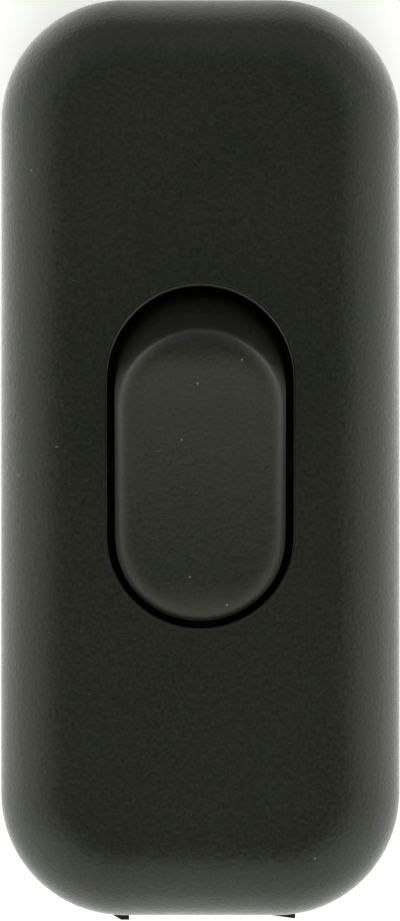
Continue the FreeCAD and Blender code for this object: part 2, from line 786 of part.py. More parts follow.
def make_lever(side, sign):
    """Bent strip with a half-round trough to rock on, a contact arm and a heel."""
    body = new_body(f"{side}_contact_lever")
    strip = new_sketch(body, "side_view", "YZ")
    heel = (
        f"(({lever_axis} - {strip_top} - dim.heel_gap - dim.lever_heel_arm * sin(dim.lever_tilt))"
        " / cos(dim.lever_tilt))"
    )
    inside = "dim.trough_radius"
    heel_root = "dim.lever_heel_arm - dim.lever_thickness"
    profile(
        strip,
        [
            ("-dim.lever_contact_arm", "0"),
            (f"-{trough_outside}", "0"),
            ("0", f"-{trough_outside}", trough_outside, "left"),
            (trough_outside, "0", trough_outside, "left"),
            (heel_root, "0"),
            (heel_root, f"-{heel}"),
            ("dim.lever_heel_arm", f"-{heel}"),
            ("dim.lever_heel_arm", "dim.lever_thickness"),
            (inside, "dim.lever_thickness"),
            (inside, "0"),
            ("0", f"-{inside}", inside, "right"),
            (f"-{inside}", "0", inside, "right"),
            (f"-{inside}", "dim.lever_thickness"),
            ("-dim.lever_contact_arm", "dim.lever_thickness"),
        ],
    )
    pad(body, strip, "dim.lever_width", symmetric=True)
    hole = new_sketch(body, "rivet_hole")
    circle(hole, "0", "-dim.tip_reach", rivet_hole)
    pocket(body, hole, "dim.lever_thickness", reverse=True)
    place(body, x=f"{sign}{pole_x}", z=lever_axis, tilt="dim.lever_tilt", axis=(-1, 0, 0))
    return body


def make_lever_tip(side, sign):
    """Domed contact rivet under the lever's contact arm."""
    body = new_body(f"{side}_lever_tip")
    half = new_sketch(body, "half_section", "XZ")
    rim = f"(dim.tip_height - dim.tip_crown + sqrt(dim.tip_crown^2 - dim.tip_radius^2))"
    profile(
        half,
        [
            ("0", "dim.lever_thickness"),
            ("0", "-dim.tip_height"),
            ("dim.tip_radius", f"-{rim}", "dim.tip_crown", "left"),
            ("dim.tip_radius", "0"),
            ("dim.rivet_radius", "0"),
            ("dim.rivet_radius", "dim.lever_thickness"),
        ],
    )
    revolve(body, half)
    place(
        body,
        x=f"{sign}{pole_x}",
        y="-dim.tip_reach * cos(dim.lever_tilt)",
        z=f"{lever_axis} + dim.tip_reach * sin(dim.lever_tilt)",
        tilt="dim.lever_tilt",
        axis=(-1, 0, 0),
    )
    return body


def make_pivot_terminal(side, sign):
    """Terminal strip with two notched ears that carry the lever's trough."""
    body = new_body(f"{side}_pivot_terminal")
    ears = new_sketch(body, "ears", "YZ")
    ear_half = "(dim.ear_length / 2)"
    ear_top = f"({lever_axis} - dim.ear_drop)"
    notch = f"({trough_outside} + dim.trough_clearance)"
    notch_half = f"sqrt({notch}^2 - dim.ear_drop^2)"
    profile(
        ears,
        [
            (f"-{ear_half}", deck),
            (ear_half, deck),
            (ear_half, ear_top),
            (notch_half, ear_top),
            (f"-{notch_half}", ear_top, notch, "right"),
            (f"-{ear_half}", ear_top),
        ],
    )
    pad(body, ears, "dim.strip_width", symmetric=True)
    channel = new_sketch(body, "channel", offset=strip_top)
    between_ears = "(dim.strip_width - 2 * dim.ear_thickness)"
    box_at(channel, "0", "0", between_ears, "(dim.ear_length + dim.cut_margin)")
    pocket(body, channel, reverse=True)
    strip = new_sketch(body, "strip", offset=deck)
    strip_outline(strip, ear_half, "")
    pad(body, strip, "dim.strip_thickness")
    place(body, x=f"{sign}{pole_x}")
    return body


def strip_outline(sketch, start, end_sign):
    """Plan of a terminal strip from a start to its wider pad, with the screw hole."""
    narrow = "(dim.strip_width / 2)"
    wide = "(dim.terminal_pad_width / 2)"
    pad_start = f"({terminal_y} - dim.terminal_pad / 2)"
    profile(
        sketch,
        [
            (narrow, f"{end_sign}{start}"),
            (narrow, f"{end_sign}{pad_start}"),
            (wide, f"{end_sign}{pad_start}"),
            (wide, f"{end_sign}{strip_end}"),
            (f"-{wide}", f"{end_sign}{strip_end}"),
            (f"-{wide}", f"{end_sign}{pad_start}"),
            (f"-{narrow}", f"{end_sign}{pad_start}"),
            (f"-{narrow}", f"{end_sign}{start}"),
        ],
    )
    circle(sketch, "0", f"{end_sign}{terminal_y}", screw_hole)


def make_fixed_contact(side, sign):
    """Terminal strip that steps up to an arm under the lever's contact rivet."""
    body = new_body(f"{side}_fixed_contact")
    step = new_sketch(body, "step", "YZ")
    inner_bend = "dim.strip_bend_radius"
    outer_bend = "(dim.strip_bend_radius + dim.strip_thickness)"
    riser_near = f"({contact_y} + dim.arm_run)"
    riser_far = f"({riser_near} + dim.strip_thickness)"
    strip_start = f"({riser_near} + {outer_bend})"
    arm_end = f"({contact_y} - dim.arm_tail)"
    profile(
        step,
        [
            (f"-{strip_start}", deck),
            (f"-{riser_near}", f"{deck} + {outer_bend}", outer_bend, "left"),
            (f"-{riser_near}", f"{arm_bottom} - {inner_bend}"),
            (f"{inner_bend} - {riser_near}", arm_bottom, inner_bend, "right"),
            (f"-{arm_end}", arm_bottom),
            (f"-{arm_end}", arm_top),
            (f"{outer_bend} - {riser_far}", arm_top),
            (f"-{riser_far}", f"{arm_top} - {outer_bend}", outer_bend, "left"),
            (f"-{riser_far}", f"{strip_top} + {inner_bend}"),
            (f"-{strip_start}", strip_top, inner_bend, "right"),
        ],
    )
    pad(body, step, "dim.strip_width", symmetric=True)
    hole = new_sketch(body, "rivet_hole", offset=arm_bottom)
    circle(hole, "0", f"-{contact_y}", rivet_hole)
    pocket(body, hole, "dim.strip_thickness", reverse=True)
    strip = new_sketch(body, "strip", offset=deck)
    strip_outline(strip, strip_start, "-")
    pad(body, strip, "dim.strip_thickness")
    place(body, x=f"{sign}{pole_x}")
    return body


def make_fixed_tip(side, sign):
    """Flat contact rivet on the fixed contact's arm."""
    body = new_body(f"{side}_fixed_tip")
    half = new_sketch(body, "half_section", "XZ")
    profile(
        half,
        [
            ("0", "-dim.strip_thickness"),
            ("dim.rivet_radius", "-dim.strip_thickness"),
            ("dim.rivet_radius", "0"),
            ("dim.fixed_tip_radius", "0"),
            ("dim.fixed_tip_radius", "dim.fixed_tip_height - dim.fixed_tip_bevel"),
            ("dim.fixed_tip_radius - dim.fixed_tip_bevel", "dim.fixed_tip_height"),
            ("0", "dim.fixed_tip_height"),
        ],
    )
    revolve(body, half)
    place(body, x=f"{sign}{pole_x}", y=f"-{contact_y}", z=arm_top)
    return body


def make_clamp_plates():
    """Four square wire clamp plates under the terminal screws."""
    body = new_body("terminal_clamp_plates")
    plates = new_sketch(body, "plan", offset=strip_top)
    edge = "dim.plate_width / 2"
    near = f"({edge} - dim.plate_corner)"
    for x, y in terminal_spots():
        profile(
            plates,
            [
                (f"{x} + {edge}", f"{y} - {near}"),
                (f"{x} + {edge}", f"{y} + {near}"),
                (f"{x} + {near}", f"{y} + {edge}"),
                (f"{x} - {near}", f"{y} + {edge}"),
                (f"{x} - {edge}", f"{y} + {near}"),
                (f"{x} - {edge}", f"{y} - {near}"),
                (f"{x} - {near}", f"{y} - {edge}"),
                (f"{x} + {near}", f"{y} - {edge}"),
            ],
        )
        circle(plates, x, y, screw_hole)
    pad(body, plates, "dim.plate_thickness")
    return body


def terminal_spots():
    """The four terminal screws' places."""
    return [(f"{sign}{pole_x}", f"{end}{terminal_y}") for _, sign in sides for _, end in ends]


def clamp_spots():
    """The four cord clamp screws' places."""
    across = "dim.clamp_screw_offset"
    return [(f"{sign}{across}", f"{end}{clamp_y}") for _, sign in sides for _, end in ends]


def make_screws(label, spots, seat, length):
    """Slotted screws with low round heads, standing at a list of places."""
    body = new_body(label)
    shanks = new_sketch(body, "shanks", offset=seat)
    for x, y in spots:
        circle(shanks, x, y, "dim.screw_radius")
    pad(body, shanks, length, reverse=True)
    heads = new_sketch(body, "heads", offset=seat)
    for x, y in spots:
        circle(heads, x, y, "dim.screw_head_radius")
    pad(body, heads, "dim.screw_head_height")
    head_top = f"({seat} + dim.screw_head_height)"
    top = value(head_top)
    dress(body, "Fillet", "head_round", "dim.screw_head_round", lambda e: lies_at(e, top))
    slots = new_sketch(body, "slots", offset=head_top)
    for x, y in spots:
        across = "(2 * (dim.screw_head_radius + dim.screw_clearance))"
        box_at(slots, x, y, across, "dim.screw_slot_width")
    pocket(body, slots, "dim.screw_slot_depth")
    return body


def make_cord_clamp(end, sign):
    """Arched bar that holds the cord on its anvil."""
    body = new_body(f"{end}_cord_clamp")
    start = f"({clamp_y} - dim.clamp_width / 2)"
    arch = new_sketch(body, "arch", "XZ", f"{'' if sign else '-'}{start}")
    half = "(dim.clamp_length / 2)"
    flange_top = f"({clamp_seat} + dim.clamp_flange)"
    outer = "(dim.inlet_radius + dim.clamp_arch)"
    outer_x = f"sqrt({outer}^2 - ({flange_top} - dim.parting_height)^2)"
    inner_x = "sqrt(dim.inlet_radius^2 - dim.clamp_lift^2)"
    profile(
        arch,
        [
            (half, clamp_seat),
            (half, flange_top),
            (outer_x, flange_top),
            ("0", f"dim.parting_height + {outer}", outer, "left"),
            (f"-{outer_x}", flange_top, outer, "left"),
            (f"-{half}", flange_top),
            (f"-{half}", clamp_seat),
            (f"-{inner_x}", clamp_seat),
            ("0", "dim.parting_height + dim.inlet_radius", "dim.inlet_radius", "right"),
            (inner_x, clamp_seat, "dim.inlet_radius", "right"),
        ],
    )
    pad(body, arch, "dim.clamp_width", reverse=not sign)
    holes = new_sketch(body, "screw_holes", offset=clamp_seat)
    for side, side_sign in sides:
        spot = (f"{side_sign}dim.clamp_screw_offset", f"{sign}{clamp_y}")
        circle(holes, *spot, "dim.screw_radius + dim.screw_relief")
    pocket(body, holes, "dim.clamp_flange", reverse=True)
    return body


def make_case_screws():
    """Two screws from below that hold the shells together."""
    body = new_body("case_screws")
    heads = new_sketch(body, "heads", offset="dim.case_head_recess")
    case_screw_circles(heads, "dim.case_head_radius")
    pad(body, heads, "dim.case_head_height", reverse=True)
    face_height = "(dim.case_head_recess - dim.case_head_height)"
    face = value(face_height)
    dress(body, "Fillet", "head_round", "dim.screw_head_round", lambda e: lies_at(e, face))
    shanks = new_sketch(body, "shanks", offset="dim.case_head_recess")
    case_screw_circles(shanks, "dim.case_screw_radius")
    pad(body, shanks, "dim.case_screw_end - dim.case_head_recess")
    slots = new_sketch(body, "slots", offset=face_height)
    across = "(2 * (dim.case_head_radius + dim.screw_clearance))"
    box_at(slots, case_screw_x, case_screw_y, across, "dim.screw_slot_width")
    box_at(slots, f"-{case_screw_x}", f"-{case_screw_y}", across, "dim.screw_slot_width")
    pocket(body, slots, "dim.screw_slot_depth", reverse=True)
    return body


pieces = [make_upper_shell(), make_lower_shell(), make_rocker()]
for side, sign in sides:
    pieces += [
        make_plunger(side, sign),
        make_spring(side, sign),
        make_lever(side, sign),
        make_lever_tip(side, sign),
        make_pivot_terminal(side, sign),
        make_fixed_contact(side, sign),
        make_fixed_tip(side, sign),
    ]
pieces.append(make_clamp_plates())
terminal_screw_length = f"{plate_top} - dim.floor_thickness - dim.pilot_margin"
pieces.append(make_screws("terminal_screws", terminal_spots(), plate_top, terminal_screw_length))
pieces += [make_cord_clamp(end, sign) for end, sign in ends]
flange_top = f"({clamp_seat} + dim.clamp_flange)"
pieces.append(make_screws("cord_clamp_screws", clamp_spots(), flange_top, "dim.clamp_screw_length"))
pieces.append(make_case_screws())

doc.recompute()
for item in doc.Objects:
    if "Invalid" in item.State or "Error" in item.State:
        raise ValueError(f"{item.Label} failed: {item.State}")
for piece in pieces:
    if piece.Shape.isNull() or not piece.Shape.isValid():
        raise ValueError(f"{piece.Label} has no valid solid")

os.makedirs("parts", exist_ok=True)
for piece in pieces:
    piece.Shape.exportStep(f"parts/{piece.Label}.step")
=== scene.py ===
import json
import math
import bmesh
import bpy
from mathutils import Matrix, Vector


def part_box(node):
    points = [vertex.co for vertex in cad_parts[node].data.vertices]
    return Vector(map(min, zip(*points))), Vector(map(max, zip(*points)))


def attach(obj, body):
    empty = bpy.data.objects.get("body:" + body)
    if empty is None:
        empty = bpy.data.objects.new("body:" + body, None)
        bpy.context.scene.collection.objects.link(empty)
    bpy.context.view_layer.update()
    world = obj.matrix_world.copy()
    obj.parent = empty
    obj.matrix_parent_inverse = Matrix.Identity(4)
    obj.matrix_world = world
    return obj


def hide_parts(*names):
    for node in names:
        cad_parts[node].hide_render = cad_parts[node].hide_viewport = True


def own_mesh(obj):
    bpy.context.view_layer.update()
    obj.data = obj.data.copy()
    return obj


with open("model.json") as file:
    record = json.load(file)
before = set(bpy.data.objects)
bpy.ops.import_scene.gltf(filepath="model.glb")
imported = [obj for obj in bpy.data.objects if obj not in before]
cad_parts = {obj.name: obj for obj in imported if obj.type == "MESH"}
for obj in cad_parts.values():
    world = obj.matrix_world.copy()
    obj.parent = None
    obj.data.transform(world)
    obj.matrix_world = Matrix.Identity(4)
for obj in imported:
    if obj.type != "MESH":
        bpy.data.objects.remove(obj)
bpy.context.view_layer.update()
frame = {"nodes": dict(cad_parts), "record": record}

# Lower half of the housing: a tray with screw bosses, terminal seats and half of each cord inlet.
# Black moulded plastic with the fine grain that a spark-eroded mould leaves.
# The upper half closes over its tongue, and two small lugs stand out at the front end.
MM = 0.001
HOUSING_BLACK = (0.0042, 0.0052, 0.0026, 1)
HOUSING_PALE = (0.0140, 0.0160, 0.0100, 1)
HOUSING_GRAIN = 0.27 * MM
HOUSING_GRAIN_DEPTH = 0.028 * MM
HOUSING_ROUGHNESS = (0.20, 0.32)
HOUSING_SHEEN = 0.22
NOISE_MIDDLE = 0.5
NOISE_SPREAD = (0.3, 0.7)
PITS_PER_GRAIN = 0.8
PIT_SHARE = 0.5
CLOUD_GRAINS = 30
CLOUD_SHARE = 0.25
GLOSS_GRAINS = 2
PLASTIC_IOR = 1.5
SHEEN_ROUGHNESS = 0.35


def add(tree, kind, inputs=(), **settings):
    """Adds a node. An input is a number, a colour or another node's output."""
    node = tree.nodes.new(kind)
    for name, setting in settings.items():
        setattr(node, name, setting)
    for name, given in dict(inputs).items():
        if isinstance(given, bpy.types.NodeSocket):
            tree.links.new(given, node.inputs[name])
        else:
            node.inputs[name].default_value = given
    return node.outputs


def math_node(tree, operation, first, second=0.0, third=0.0):
    """One sum on up to three numbers or outputs."""
    return add(tree, "ShaderNodeMath", {0: first, 1: second, 2: third}, operation=operation)[0]


def map_range(tree, value, old, new):
    """Carries a value from one range to another and stops it at the ends."""
    inputs = {"Value": value, 1: old[0], 2: old[1], 3: new[0], 4: new[1]}
    return add(tree, "ShaderNodeMapRange", inputs)[0]


def mix_colours(tree, share, first, second):
    """A colour between two others. The node's sockets share their names, so they go by number."""
    return add(tree, "ShaderNodeMix", {0: share, 6: first, 7: second}, data_type="RGBA")[2]


def noise(tree, place, pitch, detail=2.0, roughness=0.5):
    """Noise whose lumps are about one pitch apart."""
    inputs = {"Vector": place, "Scale": 1 / pitch, "Detail": detail, "Roughness": roughness}
    return add(tree, "ShaderNodeTexNoise", inputs)[0]


def place_on_piece(tree):
    """The place on a piece, in metres in the frame that all pieces share."""
    return add(tree, "ShaderNodeTexCoord")["Object"]


def new_finish(name):
    """A material, its tree, its shader's inputs and the place on the piece."""
    material = bpy.data.materials.new(name)
    material.use_nodes = True
    tree = material.node_tree
    return material, tree, tree.nodes["Principled BSDF"].inputs, place_on_piece(tree)


def bump(tree, shader, height, depth):
    """Gives a surface its relief."""
    inputs = {"Height": height, "Distance": depth, "Strength": 1.0}
    tree.links.new(add(tree, "ShaderNodeBump", inputs)[0], shader["Normal"])


def grained_plastic(name, colour, pale, grain, depth, roughness, sheen):
    """Moulded plastic: pitted grain, paler on its crests, with faint clouds and an uneven gloss."""
    material, tree, shader, place = new_finish(name)
    lumps = noise(tree, place, grain, detail=3, roughness=0.6)
    pits = add(tree, "ShaderNodeTexVoronoi", {"Vector": place, "Scale": PITS_PER_GRAIN / grain})["Distance"]
    relief = math_node(tree, "ADD", lumps, math_node(tree, "MULTIPLY", pits, PIT_SHARE))
    clouds = noise(tree, place, CLOUD_GRAINS * grain, detail=3)
    clouded = math_node(tree, "SUBTRACT", clouds, NOISE_MIDDLE)
    crests = math_node(tree, "MULTIPLY_ADD", clouded, CLOUD_SHARE, lumps)
    tint = mix_colours(tree, map_range(tree, crests, NOISE_SPREAD, (0, 1)), colour, pale)
    tree.links.new(tint, shader["Base Color"])
    gloss = map_range(tree, noise(tree, place, GLOSS_GRAINS * grain), NOISE_SPREAD, roughness)
    tree.links.new(gloss, shader["Roughness"])
    shader["IOR"].default_value = PLASTIC_IOR
    shader["Sheen Weight"].default_value = sheen
    shader["Sheen Roughness"].default_value = SHEEN_ROUGHNESS
    bump(tree, shader, relief, depth)
    return material


def housing_plastic(name):
    """The plastic of both halves of the housing."""
    return grained_plastic(
        name, HOUSING_BLACK, HOUSING_PALE,
        HOUSING_GRAIN, HOUSING_GRAIN_DEPTH, HOUSING_ROUGHNESS, HOUSING_SHEEN,
    )


def finish_nodes(material, *nodes):
    """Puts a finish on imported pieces."""
    for node in nodes:
        frame["nodes"][node].material_slots[0].material = material


finish_nodes(housing_plastic("lower_housing_plastic"), "lower_shell")

# Terminal strips of the two poles: two have ears that a lever rocks in, two end in a raised contact arm.
# Pressed from rolled brass with fine lines along it and tarnished in clouds, and darkened with painted shade
# in a ring under the rocker's gap.
# They lie on the seats of the lower shell under the terminal screws.
BRASS = (0.54, 0.35, 0.12, 1)
BRASS_TARNISH = (0.24, 0.14, 0.055, 1)
BRASS_ROUGHNESS = (0.30, 0.50)
ROLLING_PITCH = 0.07 * MM
ROLLING_STRETCH = 40
ROLLING_DEPTH = 0.002 * MM
LINE_WEAR = 0.6
CLOUD_WEAR = 0.4
TARNISH_PITCH = 2.2 * MM
TARNISH_SPREAD = (0.46, 0.70)
# Painted shade: a near-black colour laid over the brass in a ring under the outline of the rocker's opening.
GAP_SHADE = (0.010, 0.007, 0.004, 1)
GAP_SHADE_MIDDLE = -0.3 * MM
GAP_SHADE_REACH = (0.5 * MM, 1.1 * MM)
OPENING_RADIUS = 7.05 * MM
OPENING_STRAIGHT = 5.88 * MM


def vector(tree, x, y, z):
    """A vector from three numbers or outputs."""
    return add(tree, "ShaderNodeCombineXYZ", {0: x, 1: y, 2: z})[0]


def split(tree, given):
    """The three numbers of a vector."""
    return add(tree, "ShaderNodeSeparateXYZ", {0: given})


def cover(tree, share, colour):
    """Lays a colour over a finish's own by a share."""
    tint = tree.nodes["Principled BSDF"].inputs["Base Color"]
    tree.links.new(mix_colours(tree, share, tint.links[0].from_socket, colour), tint)


def past_opening(tree):
    """How far outside the rocker's opening a place lies, seen from above. It is below 0 inside."""
    at = split(tree, place_on_piece(tree))
    past_straight = math_node(tree, "SUBTRACT", math_node(tree, "ABSOLUTE", at["Y"]), OPENING_STRAIGHT)
    outward = vector(tree, at["X"], math_node(tree, "MAXIMUM", past_straight, 0.0), 0.0)
    radius = add(tree, "ShaderNodeVectorMath", {0: outward}, operation="LENGTH")["Value"]
    return math_node(tree, "SUBTRACT", radius, OPENING_RADIUS)


def rolled_strip(name, colour, stain, roughness):
    """Rolled metal: fine lines in the rolling direction, along Y, and clouds of stain."""
    material, tree, shader, place = new_finish(name)
    drawn = add(tree, "ShaderNodeMapping", {"Vector": place, "Scale": (1, 1 / ROLLING_STRETCH, 1)})[0]
    lines = noise(tree, drawn, ROLLING_PITCH, detail=3)
    clouds = noise(tree, place, TARNISH_PITCH, detail=5, roughness=0.6)
    stained = map_range(tree, clouds, TARNISH_SPREAD, (0, 1))
    tree.links.new(mix_colours(tree, stained, colour, stain), shader["Base Color"])
    worn_lines = math_node(tree, "MULTIPLY", lines, LINE_WEAR)
    worn_clouds = math_node(tree, "MULTIPLY", clouds, CLOUD_WEAR)
    worn = math_node(tree, "ADD", worn_lines, worn_clouds)
    tree.links.new(map_range(tree, worn, NOISE_SPREAD, roughness), shader["Roughness"])
    shader["Metallic"].default_value = 1.0
    bump(tree, shader, lines, ROLLING_DEPTH)
    return material


brass_strip = rolled_strip("contact_brass", BRASS, BRASS_TARNISH, BRASS_ROUGHNESS)
tree = brass_strip.node_tree
# Painted shade on the strips: full within half a millimetre of a line just inside the opening's edge, fading
# to none at 1.1 mm.
from_gap = math_node(tree, "ABSOLUTE", math_node(tree, "SUBTRACT", past_opening(tree), GAP_SHADE_MIDDLE))
cover(tree, map_range(tree, from_gap, GAP_SHADE_REACH, (1, 0)), GAP_SHADE)
finish_nodes(
    brass_strip,
    "left_pivot_terminal", "right_pivot_terminal", "left_fixed_contact", "right_fixed_contact",
)

# Contact levers: the two bent brass strips that seesaw under the plungers.
# They are the same rolled brass, with a half-round trough bent down across the middle to rock on.
# They stand in the notched ears of two terminal strips, held down by the plungers alone.
finish_nodes(brass_strip, "left_contact_lever", "right_contact_lever")

# Contact tips: the rivets that meet when the switch is on, one on each lever and one on each fixed arm.
# Silver alloy with faint turned rings, darkened in spots by the spark.
# Each is riveted through its strip.
SILVER = (0.78, 0.76, 0.71, 1)
SILVER_ROUGHNESS = (0.22, 0.5)
SCUFF_SPREAD = (0.35, 0.7)
SCORCH = (0.10, 0.085, 0.07, 1)
SCORCH_PITCH = 0.5 * MM
SCORCH_SPREAD = (0.55, 0.72)
RING_PITCH = 0.12 * MM
RING_SCALE = 0.314
RING_WANDER = 0.4
RING_DEPTH = 0.003 * MM
for tip in ("left_fixed_tip", "right_fixed_tip", "left_lever_tip", "right_lever_tip"):
    low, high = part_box(tip)
    middle = (low + high) / 2
    material, tree, shader, place = new_finish(f"{tip}_silver")
    centred = add(tree, "ShaderNodeMapping", {"Vector": place, "Location": -middle})[0]
    rings = add(
        tree, "ShaderNodeTexWave",
        {"Vector": centred, "Scale": RING_SCALE / RING_PITCH, "Distortion": RING_WANDER},
        wave_type="RINGS", rings_direction="Z",
    )[1]
    spots = noise(tree, place, SCORCH_PITCH, detail=4, roughness=0.65)
    scorched = map_range(tree, spots, SCORCH_SPREAD, (0, 1))
    tree.links.new(mix_colours(tree, scorched, SILVER, SCORCH), shader["Base Color"])
    tree.links.new(map_range(tree, spots, SCUFF_SPREAD, SILVER_ROUGHNESS), shader["Roughness"])
    shader["Metallic"].default_value = 1.0
    bump(tree, shader, rings, RING_DEPTH)
    finish_nodes(material, tip)

# Clamp plates: four square washers that press the bare wire onto the terminal strips.
# Cut from zinc-plated steel strip, bluish with a straw tint in places.
# Each hangs loose on its terminal screw.
ZINC = (0.50, 0.52, 0.55, 1)
ZINC_STRAW = (0.55, 0.52, 0.42, 1)
ZINC_ROUGHNESS = (0.28, 0.46)
zinc_strip = rolled_strip("plated_plates", ZINC, ZINC_STRAW, ZINC_ROUGHNESS)
finish_nodes(zinc_strip, "terminal_clamp_plates")

# Terminal screws: four slotted screws with a fine machine thread.
# Turned steel with the same plating, its slot left at any angle by the tightening.
# They go down through the clamp plates and the strips.
SMALL_HEAD_RADIUS = 2.1 * MM
SMALL_HEAD_HEIGHT = 1.6 * MM
SMALL_HEAD_ROUND = 0.4 * MM
SMALL_SHANK_RADIUS = 1.25 * MM
SMALL_SLOT_WIDTH = 0.6 * MM
SMALL_SLOT_DEPTH = 0.8 * MM
MACHINE_PITCH = 0.45 * MM
MACHINE_DEPTH = 0.24 * MM
MACHINE_CREST = 1.0
SHANK_SIDES = 36
RINGS_PER_PITCH = 10
ROOT_SHARE = 0.4
TIP_PITCHES = 1.6
TIP_SHARE = 0.62
HEAD_SIDES = 48
HEAD_RINGS = 16
SLOT_REACH = 2.4
SMOOTH_ANGLE = math.radians(38)
LATHE_SQUEEZE = 0.05
STRAW_SPREAD = (0.42, 0.66)
SCUFF_PITCH = 4 * ROLLING_PITCH


def new_rule(name, **kinds):
    """An empty Geometry Nodes tree with named inputs, and the outputs of its Group Input."""
    tree = bpy.data.node_groups.new(name, "GeometryNodeTree")
    tree.interface.new_socket("Geometry", in_out="INPUT", socket_type="NodeSocketGeometry")
    for label, kind in kinds.items():
        tree.interface.new_socket(label, in_out="INPUT", socket_type=f"NodeSocket{kind}")
    tree.interface.new_socket("Geometry", in_out="OUTPUT", socket_type="NodeSocketGeometry")
    return tree, add(tree, "NodeGroupInput")


def lift(tree, geometry, z):
    """Moves a shape up."""
    inputs = {"Geometry": geometry, "Translation": vector(tree, 0, 0, z)}
    return add(tree, "GeometryNodeTransform", inputs)[0]


def stand_on_points(tree, given, shape, turn):
    """Puts a shape on every point that the tree is given and ends the tree."""
    inputs = {"Points": given["Geometry"], "Instance": shape, "Rotation": turn}
    placed = add(tree, "GeometryNodeInstanceOnPoints", inputs)[0]
    real = add(tree, "GeometryNodeRealizeInstances", {"Geometry": placed})[0]
    done = add(tree, "GeometryNodeSetMaterial", {"Geometry": real, "Material": given["finish"]})[0]
    add(tree, "NodeGroupOutput", {"Geometry": done})


def put_in_scene(name, data):
    """An object at the origin, for a mesh, a lamp or the camera."""
    placed = bpy.data.objects.new(name, data)
    bpy.context.scene.collection.objects.link(placed)
    return placed


def as_modified(piece):
    """Keeps what a piece's modifiers make of it as its plain mesh."""
    made = piece.evaluated_get(bpy.context.evaluated_depsgraph_get())
    piece.data = bpy.data.meshes.new_from_object(made)
    piece.modifiers.clear()


def grow(name, points, tree, **sizes):
    """Runs a tree on some points and keeps what it makes as a plain mesh at the origin."""
    mesh = bpy.data.meshes.new(name)
    mesh.from_pydata(points, [], [])
    piece = put_in_scene(name, mesh)
    rule = piece.modifiers.new("rule", "NODES")
    rule.node_group = tree
    for socket in tree.interface.items_tree:
        if socket.in_out == "INPUT" and socket.name in sizes:
            rule[socket.identifier] = sizes[socket.name]
    as_modified(piece)
    piece.data.shade_smooth()
    piece.data.set_sharp_from_angle(angle=SMOOTH_ANGLE)
    return piece


screw_tree, given = new_rule(
    "slotted_screw",
    length="Float", shank_radius="Float", pitch="Float", thread_depth="Float", crest="Float",
    head_radius="Float", head_height="Float", head_round="Float",
    slot_width="Float", slot_depth="Float", turned_over="Float", seed="Int", finish="Material",
)
screw_point = split(screw_tree, add(screw_tree, "GeometryNodeInputPosition")[0])


def screw_sum(*terms):
    """One sum in the screw's tree."""
    return math_node(screw_tree, *terms)


def widen(geometry, share):
    """Scales a round shape about its axis by a share that may differ from point to point."""
    x = screw_sum("MULTIPLY", screw_point["X"], share)
    y = screw_sum("MULTIPLY", screw_point["Y"], share)
    inputs = {"Geometry": geometry, "Position": vector(screw_tree, x, y, screw_point["Z"])}
    return add(screw_tree, "GeometryNodeSetPosition", inputs)[0]


# The shank reaches up into the head, carries the thread and narrows at its tip.
root = screw_sum("MULTIPLY", given["head_height"], ROOT_SHARE)
turns = screw_sum("DIVIDE", given["length"], given["pitch"])
shank = add(screw_tree, "GeometryNodeMeshCylinder", {
    "Vertices": SHANK_SIDES,
    "Side Segments": screw_sum("MULTIPLY", turns, RINGS_PER_PITCH),
    "Radius": given["shank_radius"],
    "Depth": screw_sum("ADD", given["length"], root),
})["Mesh"]
shank_middle = screw_sum("MULTIPLY", screw_sum("SUBTRACT", root, given["length"]), 0.5)
shank = lift(screw_tree, shank, shank_middle)
turn = screw_sum("DIVIDE", screw_sum("ARCTAN2", screw_point["Y"], screw_point["X"]), math.tau)
climb = screw_sum("SUBTRACT", screw_sum("DIVIDE", screw_point["Z"], given["pitch"]), turn)
phase = screw_sum("FRACT", climb)
from_crest = screw_sum("ABSOLUTE", screw_sum("MULTIPLY_ADD", phase, 2.0, -1.0))
ridge = map_range(screw_tree, from_crest, (0.0, given["crest"]), (1.0, 0.0))
groove = screw_sum("SUBTRACT", 1.0, ridge)
cut = screw_sum("DIVIDE", given["thread_depth"], given["shank_radius"])
thread = screw_sum("SUBTRACT", 1.0, screw_sum("MULTIPLY", cut, groove))
tip_end = screw_sum("MULTIPLY", given["length"], -1.0)
tip_start = screw_sum("MULTIPLY_ADD", given["pitch"], TIP_PITCHES, tip_end)
taper = map_range(screw_tree, screw_point["Z"], (tip_end, tip_start), (TIP_SHARE, 1.0))
shank = widen(shank, screw_sum("MULTIPLY", thread, taper))

# The head is rounded over at its upper edge, and the slot is cut across it.
head = add(screw_tree, "GeometryNodeMeshCylinder", {
    "Vertices": HEAD_SIDES,
    "Side Segments": HEAD_RINGS,
    "Radius": given["head_radius"],
    "Depth": given["head_height"],
})["Mesh"]
head = lift(screw_tree, head, screw_sum("MULTIPLY", given["head_height"], 0.5))
shoulder = screw_sum("SUBTRACT", given["head_height"], given["head_round"])
over = screw_sum("MAXIMUM", screw_sum("SUBTRACT", screw_point["Z"], shoulder), 0.0)
over_squared = screw_sum("MULTIPLY", over, over)
round_squared = screw_sum("MULTIPLY", given["head_round"], given["head_round"])
arc_squared = screw_sum("MAXIMUM", screw_sum("SUBTRACT", round_squared, over_squared), 0.0)
pulled_in = screw_sum("SUBTRACT", given["head_round"], screw_sum("SQRT", arc_squared))
inset = screw_sum("DIVIDE", pulled_in, given["head_radius"])
head = widen(head, screw_sum("SUBTRACT", 1.0, inset))
slot_length = screw_sum("MULTIPLY", given["head_radius"], SLOT_REACH)
slot_height = screw_sum("MULTIPLY", given["slot_depth"], 2.0)
slot_size = vector(screw_tree, slot_length, given["slot_width"], slot_height)
slot = add(screw_tree, "GeometryNodeMeshCube", {"Size": slot_size})["Mesh"]
slot = lift(screw_tree, slot, given["head_height"])
whole = add(
    screw_tree, "GeometryNodeMeshBoolean", {"Mesh 2": shank}, operation="UNION", solver="EXACT",
)[0]
screw_tree.links.new(head, whole.node.inputs["Mesh 2"])
screw = add(
    screw_tree, "GeometryNodeMeshBoolean", {"Mesh 1": whole, "Mesh 2": slot},
    operation="DIFFERENCE", solver="EXACT",
)[0]

